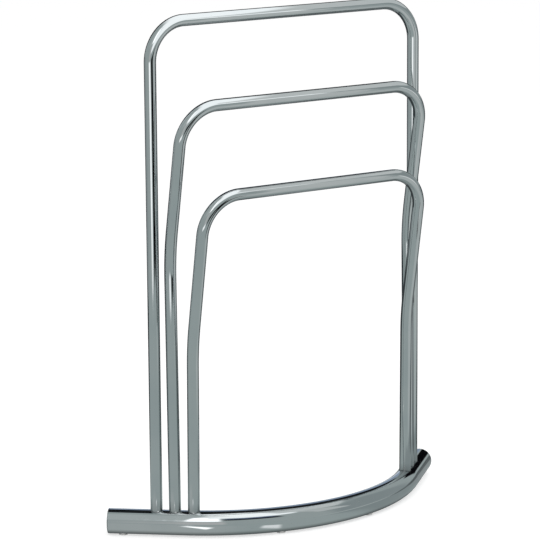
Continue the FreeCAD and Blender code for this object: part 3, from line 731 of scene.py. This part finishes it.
def lamp(name, place, target, size, power):
    data = bpy.data.lights.new(name, "AREA")
    data.shape, data.size, data.energy = "SQUARE", size, power
    thing = bpy.data.objects.new(name, data)
    way = np.array(target) - np.array(place)
    thing.location = place
    thing.rotation_euler = (math.acos(-way[2] / np.linalg.norm(way)), 0, math.atan2(-way[0], way[1]))
    thing.visible_camera = False
    thing.visible_glossy = False
    bpy.context.scene.collection.objects.link(thing)


lamp("keyLamp", studio["keyPlace"], studio["lampTarget"], studio["keySize"], studio["keyPower"])
lamp("fillLamp", studio["fillPlace"], studio["lampTarget"], studio["keySize"], studio["fillPower"])


def newPlane(name, place, across, upward, material):
    # a flat card centred on place, with its two half sides given as vectors
    place, across, upward = np.array(place), np.array(across), np.array(upward)
    corners = [place - across - upward, place + across - upward, place + across + upward,
               place - across + upward]
    mesh = bpy.data.meshes.new(name)
    mesh.from_pydata([corner.tolist() for corner in corners], [], [(0, 1, 2, 3)])
    mesh.materials.append(material)
    plane = bpy.data.objects.new(name, mesh)
    bpy.context.scene.collection.objects.link(plane)
    return plane


def patchGroup():
    # inside the limits the patch colour, outside them the colour behind, mixed smoothly over the softness.
    # Each way, cover = smooth step of (half width - distance from the middle) / softness
    group, given, result = newGroup(
        "roomPatch",
        {"Across": "Float", "Up": "Float", "Behind": "Color", "Patch Colour": "Color",
         "Middle Across": "Float", "Half Across": "Float", "Middle Up": "Float", "Half Up": "Float",
         "Softness": "Float", "Turn": "Float"},
        {"Colour": "Color"})
    halfTurn = doMath(group, "MULTIPLY", given["Turn"], 0.5)
    away = doMath(group, "SUBTRACT", given["Across"], given["Middle Across"])
    wrapped = {0: away, 1: doMath(group, "MULTIPLY", halfTurn, -1.0), 2: halfTurn}
    away = addNode(group, "ShaderNodeMath", wrapped, operation="WRAP").outputs[0]
    above = doMath(group, "SUBTRACT", given["Up"], given["Middle Up"])
    covers = []
    for distance, half in ((away, given["Half Across"]), (above, given["Half Up"])):
        inside = doMath(group, "SUBTRACT", half, doMath(group, "ABSOLUTE", distance))
        covers.append(ramp(group, doMath(group, "DIVIDE", inside, given["Softness"]), -0.5, 0.5))
    colour = mixColour(group, doMath(group, "MULTIPLY", *covers), given["Behind"], given["Patch Colour"])
    group.links.new(colour, result["Colour"])
    return group


roomPatch = patchGroup()


def layPatches(tree, across, up, colour, patches, turn):
    # the patches laid one over another on the colour given
    for (acrossFrom, acrossTo), (upFrom, upTo), softness, patchColour in patches.values():
        values = {"Across": across, "Up": up, "Behind": colour, "Patch Colour": (*patchColour, 1),
                  "Middle Across": (acrossFrom + acrossTo) / 2, "Half Across": (acrossTo - acrossFrom) / 2,
                  "Middle Up": (upFrom + upTo) / 2, "Half Up": (upTo - upFrom) / 2,
                  "Softness": softness, "Turn": turn}
        colour = addNode(tree, "ShaderNodeGroup", values, node_tree=roomPatch).outputs["Colour"]
    return colour


def glow(tree, colour, strength=1.0):
    return addNode(tree, "ShaderNodeEmission", {"Color": colour, "Strength": strength}).outputs[0]


def dull(tree, colour):
    return addNode(tree, "ShaderNodeBsdfDiffuse", {"Color": (*colour, 1)}).outputs[0]


def sky(tree, colour, strength=1.0):
    return addNode(tree, "ShaderNodeBackground", {"Color": colour, "Strength": strength}).outputs[0]


def mixShaders(tree, factor, first, second):
    return addNode(tree, "ShaderNodeMixShader", {0: factor, 1: first, 2: second}).outputs[0]


def raySwitches(tree):
    # one for rays straight from the camera, one for rays that come off or through a surface
    rays = addNode(tree, "ShaderNodeLightPath").outputs
    return rays["Is Camera Ray"], doMath(tree, "MAXIMUM", rays["Is Glossy Ray"], rays["Is Transmission Ray"])


def underBase(tree, parts):
    # how much light the mirrored ground keeps near the base: smooth step from underLight to 1 as the plan
    # distance from the base's centre line goes from near to far, with x taken as |x| and y from the bow's
    # centre. Over the bow, distance = |length(x, y) - bend radius|. Beside a straight end it is
    # |x sin(half sweep) - y cos(half sweep) - bend radius|. Past the end the light is 1
    shade, bendRadius = floorShade, baseTubeSizes["bendRadius"]
    sine, cosine = math.sin(halfSweep), math.cos(halfSweep)
    side = doMath(tree, "ABSOLUTE", parts["X"])
    depth = doMath(tree, "SUBTRACT", parts["Y"], float(bowCentre[1]))
    angle = doMath(tree, "ARCTAN2", side, doMath(tree, "MULTIPLY", depth, -1.0))
    onStraight = doMath(tree, "GREATER_THAN", angle, halfSweep)
    squares = doMath(tree, "ADD", doMath(tree, "MULTIPLY", side, side),
                     doMath(tree, "MULTIPLY", depth, depth))
    toCircle = doMath(tree, "SUBTRACT", doMath(tree, "SQRT", squares), bendRadius)
    fromCentre = doMath(tree, "SUBTRACT", doMath(tree, "MULTIPLY", side, sine),
                        doMath(tree, "MULTIPLY", depth, cosine))
    toLine = doMath(tree, "SUBTRACT", fromCentre, bendRadius)
    distance = addNode(tree, "ShaderNodeMix", {"Factor": onStraight, 2: toCircle, 3: toLine},
                       data_type="FLOAT").outputs[0]
    alongStraight = doMath(tree, "ADD", doMath(tree, "MULTIPLY", side, cosine),
                           doMath(tree, "MULTIPLY", depth, sine))
    pastEnd = doMath(tree, "GREATER_THAN", alongStraight, baseTubeSizes["straightLength"] + shade["near"])
    light = ramp(tree, doMath(tree, "ABSOLUTE", distance), shade["near"], shade["far"],
                 shade["underLight"], 1.0)
    return doMath(tree, "MAXIMUM", light, doMath(tree, "MULTIPLY", onStraight, pastEnd))


def floorFinish():
    # seen straight it is nearly white and still takes a soft shadow; the chrome sees instead a glowing grey
    # floor with painted light and shade on it, darker behind the stand, with a painted shadow under the base,
    # and ending at the mirror reach
    material = bpy.data.materials.new("studioFloor")
    tree = newTree(material)
    fromCamera, mirrored = raySwitches(tree)
    spot = addNode(tree, "ShaderNodeTexCoord").outputs["Object"]
    parts = addNode(tree, "ShaderNodeSeparateXYZ", {0: spot}).outputs
    heading = math.radians(floorGloom["heading"])
    behind = addNode(tree, "ShaderNodeVectorMath", {0: spot, 1: (math.sin(heading), math.cos(heading), 0)},
                     operation="DOT_PRODUCT").outputs["Value"]
    gloom = ramp(tree, behind, floorGloom["near"], floorGloom["far"])
    ground = mixColour(tree, gloom, (*floorGrey, 1), (*floorGloom["colour"], 1))
    ground = layPatches(tree, parts["X"], parts["Y"], ground, floorPatches, noTurn)
    away = addNode(tree, "ShaderNodeVectorMath", {0: spot}, operation="LENGTH").outputs["Value"]
    ending = ramp(tree, away, studio["mirrorReach"] * studio["mirrorFade"], studio["mirrorReach"])
    opening = addNode(tree, "ShaderNodeBsdfTransparent").outputs[0]
    # the ground's glow carries a painted shadow under the base
    greyDisc = mixShaders(tree, ending, glow(tree, ground, underBase(tree, parts)), opening)
    seen = addNode(tree, "ShaderNodeAddShader", {0: dull(tree, studio["seenFloorColour"]),
                                                 1: glow(tree, white, studio["seenFloorGlow"])}).outputs[0]
    plain = mixShaders(tree, fromCamera, dull(tree, studio["floorColour"]), seen)
    addNode(tree, "ShaderNodeOutputMaterial", {"Surface": mixShaders(tree, mirrored, plain, greyDisc)})
    return material


def roomWorld():
    # plain white to the eye and plain light on everything dull; the chrome sees the patched room.
    # Compass direction = angle of (x, y) from +Y, height = arc sine of z, both in degrees
    world = bpy.data.worlds.new("room")
    bpy.context.scene.world = world
    tree = newTree(world)
    fromCamera, mirrored = raySwitches(tree)
    way = addNode(tree, "ShaderNodeTexCoord").outputs["Generated"]
    parts = addNode(tree, "ShaderNodeSeparateXYZ", {0: way}).outputs
    compass = doMath(tree, "DEGREES", doMath(tree, "ARCTAN2", parts["X"], parts["Y"]))
    height = doMath(tree, "DEGREES", doMath(tree, "ARCSINE", parts["Z"]))
    room = sky(tree, layPatches(tree, compass, height, (*roomGrey, 1), roomPatches, fullTurn))
    straight = mixShaders(tree, fromCamera, sky(tree, white, studio["worldLevel"]), sky(tree, white))
    addNode(tree, "ShaderNodeOutputWorld", {"Surface": mixShaders(tree, mirrored, straight, room)})


floorReach = studio["floorSize"] / 2
newPlane("floor", (0, 0, 0), (floorReach, 0, 0), (0, floorReach, 0), floorFinish())
roomWorld()

# Cards close to the stand that only the chrome sees: centre, the two half sides, soft border, colour and, on
# one, that it shows from its front only
reflectCards = {
    "topCard": ((-0.05, -0.17, 0.985), (0.24, 0, 0), (0, 0.38, 0), 0.10, (1.34, 1.37, 1.39)),
    "paleTopCard": ((0.43, -0.17, 0.975), (0.37, 0, 0), (0, 0.38, 0), 0.10, (0.680, 0.710, 0.710)),
    "frontCard": ((-0.08, -0.55, 1.22), (0.55, 0, 0), (0, 0, 0.40), 0.05, (1.30, 1.33, 1.35)),
    "rightCard": ((0.28, -0.42, 0.55), (0.15, 0, 0), (0, 0, 0.31), 0.04, (0.580, 0.610, 0.610)),
    "backCard": ((0.35, 0.50, 0.97), (0.80, 0, 0), (0, 0, 0.27), 0.04, (0.020, 0.024, 0.026)),
    "lowBlackCard": ((0.285, -1.0, 0.20), (0.107, 0.025, 0), (-0.117, 0.507, 0), 0.02, (0.003, 0.003, 0.004),
                     True),
}


def reflectorCard(name, centre, across, upward, border, colour, frontOnly=False):
    # bright or black in the middle and clear at the border. Along each half side, cover = smooth step from 1
    # to 0 as the distance from the middle goes from (half side - border) to half side
    material = bpy.data.materials.new(name)
    tree = newTree(material)
    spot = addNode(tree, "ShaderNodeTexCoord").outputs["Object"]
    local = addNode(tree, "ShaderNodeVectorMath", {0: spot, 1: centre}, operation="SUBTRACT").outputs[0]
    covers = []
    for half in (np.array(across, float), np.array(upward, float)):
        size = float(np.linalg.norm(half))
        along = addNode(tree, "ShaderNodeVectorMath", {0: local, 1: tuple(half / size)},
                        operation="DOT_PRODUCT").outputs["Value"]
        covers.append(ramp(tree, doMath(tree, "ABSOLUTE", along), size - border, size, 1.0, 0.0))
    if frontOnly:
        fromBehind = addNode(tree, "ShaderNodeNewGeometry").outputs["Backfacing"]
        covers[0] = doMath(tree, "MULTIPLY", covers[0], doMath(tree, "SUBTRACT", 1.0, fromBehind))
    clear = addNode(tree, "ShaderNodeBsdfTransparent").outputs[0]
    whole = mixShaders(tree, doMath(tree, "MULTIPLY", *covers), clear, glow(tree, (*colour, 1)))
    addNode(tree, "ShaderNodeOutputMaterial", {"Surface": whole})
    card = newPlane(name, centre, across, upward, material)
    card.visible_camera = card.visible_diffuse = card.visible_shadow = card.visible_transmission = False


for cardName, cardValues in reflectCards.items():
    reflectorCard(cardName, *cardValues)


viewPoint = {
    "place": (-2.6152, -3.6828, 1.3083),
    "yaw": 0.60724,            # radians, turned right of the +Y axis
    "pitch": 0.19757,          # looking down
    "roll": -0.006897,
    "lens": 191.98,
    "sensor": 36.0,
    "farClip": 100.0,
}


def placeCamera():
    # the view's own right, up and look directions, from yaw, pitch and roll, make the columns of its matrix
    yaw, pitch, roll = viewPoint["yaw"], viewPoint["pitch"], viewPoint["roll"]
    right = np.array([math.cos(yaw), -math.sin(yaw), 0.0])
    ahead = np.array([math.sin(yaw), math.cos(yaw), 0.0])
    look = ahead * math.cos(pitch) - upright * math.sin(pitch)
    over = upright * math.cos(pitch) + ahead * math.sin(pitch)
    cameraRight = right * math.cos(roll) + over * math.sin(roll)
    cameraUp = over * math.cos(roll) - right * math.sin(roll)
    data = bpy.data.cameras.new("view")
    data.lens, data.sensor_width, data.clip_end = viewPoint["lens"], viewPoint["sensor"], viewPoint["farClip"]
    camera = bpy.data.objects.new("view", data)
    bpy.context.scene.collection.objects.link(camera)
    matrix = np.eye(4)
    matrix[:3] = np.stack([cameraRight, cameraUp, -look, viewPoint["place"]], -1)
    camera.matrix_world = Matrix(matrix.tolist())
    bpy.context.scene.camera = camera


placeCamera()
bpy.context.scene.view_settings.view_transform = "Standard"
print("studio: lamps, floor, background and camera placed")

bpy.context.view_layer.update()
